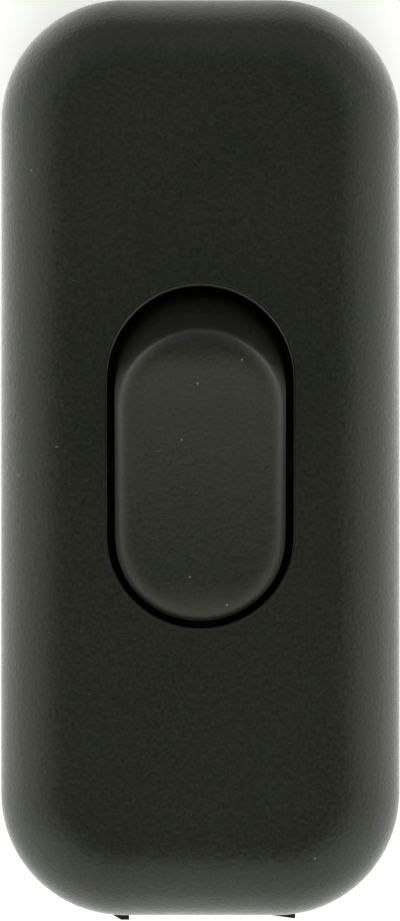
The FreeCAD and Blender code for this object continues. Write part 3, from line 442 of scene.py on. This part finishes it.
# Sockets 2, 3 and 8 are the least, the most and the seed of a random number.
slot_turn = add(
    screw_tree, "FunctionNodeRandomValue", {2: 0.0, 3: math.pi, 8: given["seed"]}, data_type="FLOAT",
)[1]
turned = screw_sum("MULTIPLY", given["turned_over"], math.pi)
stand_on_points(screw_tree, given, screw, vector(screw_tree, turned, 0.0, slot_turn))


def turned_zinc(name):
    """Plated steel off a lathe: a slight ripple up the height, a straw tint in places, and scuffs."""
    material, tree, shader, place = new_finish(name)
    squeezed = {"Vector": place, "Scale": (LATHE_SQUEEZE, LATHE_SQUEEZE, 1)}
    ripple = noise(tree, add(tree, "ShaderNodeMapping", squeezed)[0], ROLLING_PITCH, detail=2)
    clouds = noise(tree, place, TARNISH_PITCH, detail=4)
    scuffs = noise(tree, place, SCUFF_PITCH, detail=4, roughness=0.7)
    straw = map_range(tree, clouds, STRAW_SPREAD, (0, 1))
    tree.links.new(mix_colours(tree, straw, ZINC, ZINC_STRAW), shader["Base Color"])
    tree.links.new(map_range(tree, scuffs, SCUFF_SPREAD, ZINC_ROUGHNESS), shader["Roughness"])
    shader["Metallic"].default_value = 1.0
    bump(tree, shader, ripple, ROLLING_DEPTH)
    return material


def four_corners(node, margin, z):
    """The axes of four like screws, which stand at the corners of their node's box."""
    low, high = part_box(node)
    across = (low.x + margin, high.x - margin)
    along = (low.y + margin, high.y - margin)
    return [(x, y, z) for x in across for y in along]


def stand_for(piece, node, body):
    """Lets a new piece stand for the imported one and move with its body."""
    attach(piece, body)
    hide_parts(node)


small_screw = {
    "shank_radius": SMALL_SHANK_RADIUS,
    "head_radius": SMALL_HEAD_RADIUS,
    "head_height": SMALL_HEAD_HEIGHT,
    "head_round": SMALL_HEAD_ROUND,
    "slot_width": SMALL_SLOT_WIDTH,
    "slot_depth": SMALL_SLOT_DEPTH,
    "turned_over": 0.0,
}
screw_zinc = turned_zinc("plated_screws")
low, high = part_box("terminal_screws")
terminal_seat = high.z - SMALL_HEAD_HEIGHT
terminal_axes = four_corners("terminal_screws", SMALL_HEAD_RADIUS, terminal_seat)
terminal_screws = grow(
    "slotted_terminal_screws", terminal_axes, screw_tree,
    length=terminal_seat - low.z, pitch=MACHINE_PITCH, thread_depth=MACHINE_DEPTH, crest=MACHINE_CREST,
    seed=3, finish=screw_zinc, **small_screw,
)
stand_for(terminal_screws, "terminal_screws", "housing")

# Cord clamps: an arched bar behind each inlet, which presses the cord's sheath onto the anvil below.
# Grey moulded plastic with a coarser grain than the housing's.
# Two screws hold each down on the posts of the lower shell.
CLAMP_GREY = (0.20, 0.20, 0.19, 1)
CLAMP_PALE = (0.25, 0.25, 0.24, 1)
CLAMP_GRAIN = 0.3 * MM
CLAMP_GRAIN_DEPTH = 0.012 * MM
CLAMP_ROUGHNESS = (0.42, 0.55)
CLAMP_SHEEN = 0.1
clamp_plastic = grained_plastic(
    "clamp_plastic", CLAMP_GREY, CLAMP_PALE,
    CLAMP_GRAIN, CLAMP_GRAIN_DEPTH, CLAMP_ROUGHNESS, CLAMP_SHEEN,
)
finish_nodes(clamp_plastic, "front_cord_clamp", "rear_cord_clamp")

# Cord clamp screws: four longer screws with the same heads, and a wide thread that cuts its own way.
# Turned steel, zinc-plated.
# They go through the flanges of the clamps into the posts of the lower shell.
TAPPING_PITCH = 0.9 * MM
TAPPING_DEPTH = 0.34 * MM
TAPPING_CREST = 0.55
low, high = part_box("cord_clamp_screws")
clamp_seat = high.z - SMALL_HEAD_HEIGHT
clamp_axes = four_corners("cord_clamp_screws", SMALL_HEAD_RADIUS, clamp_seat)
cord_clamp_screws = grow(
    "slotted_clamp_screws", clamp_axes, screw_tree,
    length=clamp_seat - low.z, pitch=TAPPING_PITCH, thread_depth=TAPPING_DEPTH, crest=TAPPING_CREST,
    seed=5, finish=screw_zinc, **small_screw,
)
stand_for(cord_clamp_screws, "cord_clamp_screws", "housing")

# Rocker: the dished key that is pressed at one end or the other, with a soft rim worn round by fingers.
# Black moulded plastic, shallower in the grain than the housing, with rough flanks and a little dust.
# Two trunnions hang it in the upper shell, and two tubes below hold the plungers.
ROCKER_BLACK = (0.0030, 0.0035, 0.0020, 1)
ROCKER_PALE = (0.0104, 0.0116, 0.0075, 1)
ROCKER_GRAIN = 0.26 * MM
ROCKER_GRAIN_DEPTH = 0.018 * MM
ROCKER_ROUGHNESS = (0.35, 0.43)
ROCKER_SHEEN = 0.0
FACE_HEIGHT = 22.99 * MM
FACE_SLOPE = 0.215
FACE_CURVE = 0.0085 / MM
FLANK_ROUGHNESS = 0.95
FLANK_EDGE = (0.2 * MM, 1.1 * MM)
FLANK_REAR = (4 * MM, 7 * MM)
FLANK_FRONT = (-11 * MM, -8 * MM)
ROCKER_FLECKS = ((3.1, 7.1), (-0.2, 5.35), (-1.4, 1.15), (-0.8, -9.1), (2.0, -11.2))
FLECK_RADIUS = 0.11 * MM
FLECK_CORE = 0.3
DUST = (0.10, 0.10, 0.085, 1)
DUST_SPACING = 1.7 * MM
DUST_RADIUS = 0.06 * MM
DUST_CORE = 0.4
DUST_COVER = 0.7
CROWN_VOXEL = 0.16 * MM
CROWN_BAND = (4.2 * MM, 5.0 * MM)
CROWN_PASSES = 120
CROWN_FACTOR = 0.5
WELD = 0.001 * MM


def settle_dust(tree, flecks):
    """Lays fine dust over a finish, and larger flecks at places given in mm across and along."""
    place = place_on_piece(tree)
    grains = add(tree, "ShaderNodeTexVoronoi", {"Vector": place, "Scale": 1 / DUST_SPACING})["Distance"]
    edge = DUST_RADIUS / DUST_SPACING
    dust = map_range(tree, grains, (DUST_CORE * edge, edge), (DUST_COVER, 0))
    above = add(tree, "ShaderNodeVectorMath", {0: place, 1: (1, 1, 0)}, operation="MULTIPLY")[0]
    for x, y in flecks:
        spot = (x * MM, y * MM, 0)
        distance = add(tree, "ShaderNodeVectorMath", {0: above, 1: spot}, operation="DISTANCE")["Value"]
        fleck = map_range(tree, distance, (FLECK_CORE * FLECK_RADIUS, FLECK_RADIUS), (1, 0))
        dust = math_node(tree, "MAXIMUM", dust, fleck)
    cover(tree, dust, DUST)


def roughen(tree, share):
    """Takes a finish's roughness to that of the rough flanks by a share."""
    gloss = tree.nodes["Principled BSDF"].inputs["Roughness"]
    rough = map_range(tree, share, (0, 1), (gloss.links[0].from_socket, FLANK_ROUGHNESS))
    tree.links.new(rough, gloss)


def soften_crown(name, node, foot, up, finish):
    """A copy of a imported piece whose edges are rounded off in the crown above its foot."""
    shape = bmesh.new()
    shape.from_mesh(frame["nodes"][node].data)
    bmesh.ops.remove_doubles(shape, verts=shape.verts, dist=WELD)
    mesh = bpy.data.meshes.new(name)
    shape.to_mesh(mesh)
    shape.free()
    piece = put_in_scene(name, mesh)
    even = piece.modifiers.new("even", "REMESH")
    even.mode = "VOXEL"
    even.voxel_size = CROWN_VOXEL
    as_modified(piece)
    crown = piece.vertex_groups.new(name="crown")
    start, full = CROWN_BAND
    for point in piece.data.vertices:
        share = ((point.co - foot).dot(up) - start) / (full - start)
        if share > 0:
            crown.add([point.index], min(share, 1.0), "REPLACE")
    worn = piece.modifiers.new("worn", "SMOOTH")
    worn.factor = CROWN_FACTOR
    worn.iterations = CROWN_PASSES
    worn.vertex_group = crown.name
    as_modified(piece)
    piece.data.shade_smooth()
    piece.data.materials.clear()
    piece.data.materials.append(finish)
    return piece


rocker_plastic = grained_plastic(
    "rocker_plastic", ROCKER_BLACK, ROCKER_PALE,
    ROCKER_GRAIN, ROCKER_GRAIN_DEPTH, ROCKER_ROUGHNESS, ROCKER_SHEEN,
)
tree = rocker_plastic.node_tree
settle_dust(tree, ROCKER_FLECKS)

# The flanks are what lies below the dished face, apart from the two ends.
at = split(tree, place_on_piece(tree))
rise = math_node(tree, "MULTIPLY_ADD", at["Y"], FACE_CURVE, FACE_SLOPE)
face = math_node(tree, "MULTIPLY_ADD", at["Y"], rise, FACE_HEIGHT)
flank = map_range(tree, math_node(tree, "SUBTRACT", face, at["Z"]), FLANK_EDGE, (0, 1))
flank = math_node(tree, "MULTIPLY", flank, map_range(tree, at["Y"], FLANK_REAR, (1, 0)))
flank = math_node(tree, "MULTIPLY", flank, map_range(tree, at["Y"], FLANK_FRONT, (0, 1)))
roughen(tree, flank)

joints = {joint["name"]: joint for joint in frame["record"]["behaviour"]["joints"]}
pivot = Vector(joints["rocker_tilt"]["pos_m"])
upright = Vector(joints["left_plunger_slide"]["axis"])
soft_rocker = soften_crown("soft_rocker", "rocker", pivot, upright, rocker_plastic)
stand_for(soft_rocker, "rocker", "rocker")

# Plunger springs: a compression spring in each of the rocker's two tubes, pushing the plunger down.
# Coiled from drawn steel wire, with the last turn at each end closed.
# The upper end bears on the tube's blind end, and the spring shortens towards it.
WIRE_RADIUS = 0.2 * MM
WIRE_SIDES = 10
COIL_RADIUS = 1.15 * MM
COIL_TURNS = 6.5
POINTS_PER_TURN = 36
CLOSED_PITCH = 2.04
SPRING_LOW = -0.37 * MM
SPRING_HIGH = 3.17 * MM
SPRING_STEEL = (0.42, 0.42, 0.43, 1)
SPRING_OILED = (0.24, 0.22, 0.19, 1)
SPRING_ROUGHNESS = (0.2, 0.38)
OIL_PITCH = 0.9 * MM
OIL_SPREAD = (0.42, 0.68)
DRAWN_PITCH = 0.15 * MM

spring_tree, given = new_rule(
    "closed_end_spring",
    turns="Float", coil_radius="Float", wire_radius="Float", height="Float", lean="Float", finish="Material",
)


def spring_sum(*terms):
    """One sum in the spring's tree."""
    return math_node(spring_tree, *terms)


spiral = add(spring_tree, "GeometryNodeCurveSpiral", {
    "Resolution": POINTS_PER_TURN,
    "Rotations": given["turns"],
    "Start Radius": given["coil_radius"],
    "End Radius": given["coil_radius"],
    "Height": given["height"],
})["Curve"]
along = add(spring_tree, "GeometryNodeSplineParameter")["Factor"]
turn = spring_sum("MULTIPLY", along, given["turns"])
last_turn = spring_sum("SUBTRACT", given["turns"], 1.0)
closed_rise = spring_sum("MULTIPLY", given["wire_radius"], CLOSED_PITCH)
free_height = spring_sum("MULTIPLY_ADD", closed_rise, -2.0, given["height"])
first_rise = spring_sum("MULTIPLY", spring_sum("MINIMUM", turn, 1.0), closed_rise)
free_rise = map_range(spring_tree, turn, (1.0, last_turn), (0.0, free_height))
past_free = spring_sum("MAXIMUM", spring_sum("SUBTRACT", turn, last_turn), 0.0)
height = spring_sum("MULTIPLY_ADD", past_free, closed_rise, spring_sum("ADD", first_rise, free_rise))
at = split(spring_tree, add(spring_tree, "GeometryNodeInputPosition")[0])
raised = {"Geometry": spiral, "Position": vector(spring_tree, at["X"], at["Y"], height)}
coil = add(spring_tree, "GeometryNodeSetPosition", raised)[0]
circle = {"Resolution": WIRE_SIDES, "Radius": given["wire_radius"]}
section = add(spring_tree, "GeometryNodeCurvePrimitiveCircle", circle)["Curve"]
swept = {"Curve": coil, "Profile Curve": section, "Fill Caps": True}
spring = add(spring_tree, "GeometryNodeCurveToMesh", swept)[0]
stand_on_points(spring_tree, given, spring, vector(spring_tree, given["lean"], 0.0, 0.0))

spring_wire, tree, shader, place = new_finish("spring_wire")
oiled = map_range(tree, noise(tree, place, OIL_PITCH, detail=4), OIL_SPREAD, (0, 1))
tree.links.new(mix_colours(tree, oiled, SPRING_STEEL, SPRING_OILED), shader["Base Color"])
gloss = map_range(tree, noise(tree, place, DRAWN_PITCH), NOISE_SPREAD, SPRING_ROUGHNESS)
tree.links.new(gloss, shader["Roughness"])
shader["Metallic"].default_value = 1.0

for side in ("left", "right"):
    slide = joints[f"{side}_plunger_slide"]
    axis = Vector(slide["axis"])
    low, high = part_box(f"{side}_plunger")
    tube = pivot + Vector(((low.x + high.x) / 2, 0, 0))
    lean = math.atan2(-axis.y, axis.z)
    plunger_spring = grow(
        f"{side}_coiled_spring", [tube + axis * SPRING_LOW], spring_tree,
        turns=COIL_TURNS, coil_radius=COIL_RADIUS, wire_radius=WIRE_RADIUS,
        height=SPRING_HIGH - SPRING_LOW, lean=lean, finish=spring_wire,
    )
    stand_for(plunger_spring, f"{side}_plunger_spring", "rocker")
    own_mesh(plunger_spring)

# Plungers: the two sliding pegs whose round feet push the levers over.
# Natural white acetal, smooth from the mould, with a grey smear where the foot rubs on brass.
# They slide in the rocker's tubes and the springs press them down.
ACETAL = (0.72, 0.71, 0.66, 1)
ACETAL_CLOUD = (0.66, 0.65, 0.59, 1)
ACETAL_ROUGHNESS = (0.26, 0.38)
ACETAL_PITCH = 1.5 * MM
ACETAL_SPREAD = (0.35, 0.65)
FLOW_PITCH = 0.4 * MM
FLOW_DEPTH = 0.003 * MM
SMEAR = (0.26, 0.24, 0.20, 1)
SMEAR_HEIGHT = 0.9 * MM
SMEAR_EDGE = (0.4 * SMEAR_HEIGHT, 1.4 * SMEAR_HEIGHT)
SMEAR_COVER = 0.8
plunger_acetal, tree, shader, place = new_finish("plunger_acetal")
clouds = noise(tree, place, ACETAL_PITCH, detail=3)
tint = mix_colours(tree, map_range(tree, clouds, ACETAL_SPREAD, (0, 1)), ACETAL, ACETAL_CLOUD)
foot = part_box("left_plunger")[0].z
above_foot = math_node(tree, "SUBTRACT", split(tree, place)["Z"], foot)
ragged = math_node(tree, "ADD", above_foot, math_node(tree, "MULTIPLY", clouds, SMEAR_HEIGHT))
smeared = map_range(tree, ragged, SMEAR_EDGE, (SMEAR_COVER, 0))
tree.links.new(mix_colours(tree, smeared, tint, SMEAR), shader["Base Color"])
tree.links.new(map_range(tree, clouds, NOISE_SPREAD, ACETAL_ROUGHNESS), shader["Roughness"])
bump(tree, shader, noise(tree, place, FLOW_PITCH, detail=2), FLOW_DEPTH)
finish_nodes(plunger_acetal, "left_plunger", "right_plunger")

# Upper half of the housing: a rounded lid with the long round-ended opening for the rocker.
# The same black grained plastic as the lower half, with a little dust, and rough on the opening's edge.
# It closes over the tongue of the lower half, and its bosses take the case screws from below.
OPENING_EDGE = (0.14 * MM, 0.22 * MM)
HOUSING_FLECKS = ((-12.7, 21.5), (8.6, -30.2), (-10.8, 0.7), (-13.7, -1.4))
upper_housing_plastic = housing_plastic("upper_housing_plastic")
tree = upper_housing_plastic.node_tree
settle_dust(tree, HOUSING_FLECKS)
roughen(tree, map_range(tree, past_opening(tree), OPENING_EDGE, (1, 0)))
finish_nodes(upper_housing_plastic, "upper_shell")

# Case screws: two slotted screws that hold the halves together, at opposite corners.
# Turned steel, zinc-plated, with the wide thread for plastic.
# They go up from recesses in the base, so only their heads show from below.
CASE_HEAD_RADIUS = 2.7 * MM
CASE_HEAD_HEIGHT = 1.8 * MM
CASE_HEAD_ROUND = 0.35 * MM
CASE_SHANK_RADIUS = 1.35 * MM
CASE_SLOT_WIDTH = 0.8 * MM
CASE_SLOT_DEPTH = 0.9 * MM
low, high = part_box("case_screws")
case_seat = low.z + CASE_HEAD_HEIGHT
case_axes = [
    (low.x + CASE_HEAD_RADIUS, low.y + CASE_HEAD_RADIUS, case_seat),
    (high.x - CASE_HEAD_RADIUS, high.y - CASE_HEAD_RADIUS, case_seat),
]
case_screws = grow(
    "slotted_case_screws", case_axes, screw_tree,
    length=high.z - case_seat, shank_radius=CASE_SHANK_RADIUS,
    pitch=TAPPING_PITCH, thread_depth=TAPPING_DEPTH, crest=TAPPING_CREST,
    head_radius=CASE_HEAD_RADIUS, head_height=CASE_HEAD_HEIGHT, head_round=CASE_HEAD_ROUND,
    slot_width=CASE_SLOT_WIDTH, slot_depth=CASE_SLOT_DEPTH, turned_over=1.0,
    seed=8, finish=screw_zinc,
)
stand_for(case_screws, "case_screws", "housing")

# Floor: a wide pale sheet under the switch, of matt paint.
# It looks white to the camera and pale in reflections, less so straight in front of the switch and behind it.
# It still takes the switch's shadow.
FLOOR_HALF = 2.0
FLOOR_GREY = (0.8, 0.8, 0.8, 1)
FLOOR_GLOW = 0.5
FLOOR_SHINE = 0.93
FLOOR_SHINE_FRONT = 0.42
FLOOR_SHINE_REAR = 0.35
SHINE_CENTRE = (0, 0.02, 0)
SHINE_FRONT_EDGE = (-0.9, -0.4)
SHINE_REAR_EDGE = (0.75, 0.97)
floor_mesh = bpy.data.meshes.new("floor")
floor_corners = [
    (-FLOOR_HALF, -FLOOR_HALF, 0),
    (FLOOR_HALF, -FLOOR_HALF, 0),
    (FLOOR_HALF, FLOOR_HALF, 0),
    (-FLOOR_HALF, FLOOR_HALF, 0),
]
floor_mesh.from_pydata(floor_corners, [], [(0, 1, 2, 3)])
floor = put_in_scene("floor", floor_mesh)
floor_paint = bpy.data.materials.new("floor_paint")
floor_paint.use_nodes = True
tree = floor_paint.node_tree
tree.nodes.clear()
ray = add(tree, "ShaderNodeLightPath")
place = place_on_piece(tree)
outward = add(tree, "ShaderNodeVectorMath", {0: place, 1: SHINE_CENTRE}, operation="SUBTRACT")[0]
outward = add(tree, "ShaderNodeVectorMath", {0: outward}, operation="NORMALIZE")[0]
rearward = split(tree, outward)["Y"]
front_shine = map_range(tree, rearward, SHINE_FRONT_EDGE, (FLOOR_SHINE_FRONT, FLOOR_SHINE))
rear_shine = map_range(tree, rearward, SHINE_REAR_EDGE, (FLOOR_SHINE, FLOOR_SHINE_REAR))
shine = math_node(tree, "MINIMUM", front_shine, rear_shine)
mirrored = math_node(tree, "MAXIMUM", ray["Is Glossy Ray"], ray["Is Transmission Ray"])
seen = math_node(tree, "MULTIPLY", ray["Is Camera Ray"], FLOOR_GLOW)
strength = math_node(tree, "MULTIPLY_ADD", mirrored, shine, seen)
paint = add(tree, "ShaderNodeBsdfDiffuse", {"Color": FLOOR_GREY})[0]
glow = add(tree, "ShaderNodeEmission", {"Strength": strength})[0]
surface = add(tree, "ShaderNodeAddShader", {0: paint, 1: glow})[0]
add(tree, "ShaderNodeOutputMaterial", {"Surface": surface})
floor_mesh.materials.append(floor_paint)

# Light: a soft dome, dim overhead and bright at the sides, weaker in front and weakest behind.
# A soft panel fills the front of the dome, its tint is slight, and to the camera the dome is plain white.
# One wide lamp in front and above brings the level up, so that colours come out about as written.
SKY_TOP = 0.14
SKY_SIDES = 1.3
SKY_FRONT = 0.85
SKY_FRONT_EDGE = (-0.9, -0.4)
SKY_REAR = 0.34
SKY_REAR_EDGE = (0.2, 0.9)
SKY_PANEL = 0.25
SKY_PANEL_EDGE = (-0.45, -0.28)
SKY_FRONT_COLOUR = (0.95, 1.0, 0.82, 1)
SKY_REAR_COLOUR = (1.0, 1.0, 0.98, 1)
SKY_COLOUR_EDGE = (-0.3, 0.7)
WHITE = (1, 1, 1, 1)
LAMP_ENERGY = 0.62
LAMP_SIZE = 0.3
LAMP_HEIGHT = 0.22
LAMP_FORWARD = 0.22
world = bpy.data.worlds.new("studio")
bpy.context.scene.world = world
world.use_nodes = True
tree = world.node_tree
tree.nodes.clear()
towards = split(tree, add(tree, "ShaderNodeTexCoord")["Generated"])
low_down = math_node(tree, "SUBTRACT", 1.0, math_node(tree, "MULTIPLY", towards["Z"], towards["Z"]))
front_level = map_range(tree, towards["Y"], SKY_FRONT_EDGE, (SKY_FRONT, SKY_SIDES))
rear_level = map_range(tree, towards["Y"], SKY_REAR_EDGE, (SKY_SIDES, SKY_REAR))
level = math_node(tree, "MINIMUM", front_level, rear_level)
panel = map_range(tree, towards["Y"], SKY_PANEL_EDGE, (SKY_TOP + SKY_PANEL, SKY_TOP))
sky = math_node(tree, "MULTIPLY_ADD", low_down, level, panel)
rearward = map_range(tree, towards["Y"], SKY_COLOUR_EDGE, (0, 1))
tint = mix_colours(tree, rearward, SKY_FRONT_COLOUR, SKY_REAR_COLOUR)
ray = add(tree, "ShaderNodeLightPath")
tint = mix_colours(tree, ray["Is Camera Ray"], tint, WHITE)
strength = math_node(tree, "MAXIMUM", sky, ray["Is Camera Ray"])
surface = add(tree, "ShaderNodeBackground", {"Color": tint, "Strength": strength})[0]
add(tree, "ShaderNodeOutputWorld", {"Surface": surface})
lamp_data = bpy.data.lights.new("front_lamp", "AREA")
lamp_data.size = LAMP_SIZE
lamp_data.energy = LAMP_ENERGY
lamp = put_in_scene("front_lamp", lamp_data)
lamp.location = (0, -LAMP_FORWARD, LAMP_HEIGHT)
lamp.rotation_euler = (math.atan2(LAMP_FORWARD, LAMP_HEIGHT), 0, 0)
lamp.visible_glossy = False

# Camera: a long lens high above the switch, a touch towards its front end.
# The pixel places are those of the photograph's frame.
PIXEL = 0.0757 * MM
PICTURE_HEIGHT = 921
PICTURE_MIDDLE = (200, 460.5)
SWITCH_MIDDLE = (200.3, 458.6)
WIDEST_HEIGHT = 10 * MM
CAMERA_DISTANCE = 1.2
CAMERA_TILT = math.radians(1.1)
SENSOR = 36
camera_data = bpy.data.cameras.new("camera")
camera_data.sensor_width = SENSOR
camera_data.lens = SENSOR * CAMERA_DISTANCE / (PICTURE_HEIGHT * PIXEL)
camera_data.clip_end = 2 * CAMERA_DISTANCE
camera = put_in_scene("camera", camera_data)
aim_x = (PICTURE_MIDDLE[0] - SWITCH_MIDDLE[0]) * PIXEL
aim_y = (SWITCH_MIDDLE[1] - PICTURE_MIDDLE[1]) * PIXEL
camera.location = (
    aim_x,
    aim_y - CAMERA_DISTANCE * math.sin(CAMERA_TILT),
    WIDEST_HEIGHT + CAMERA_DISTANCE * math.cos(CAMERA_TILT),
)
camera.rotation_euler = (CAMERA_TILT, 0, 0)
bpy.context.scene.camera = camera
bpy.context.scene.view_settings.view_transform = "Standard"
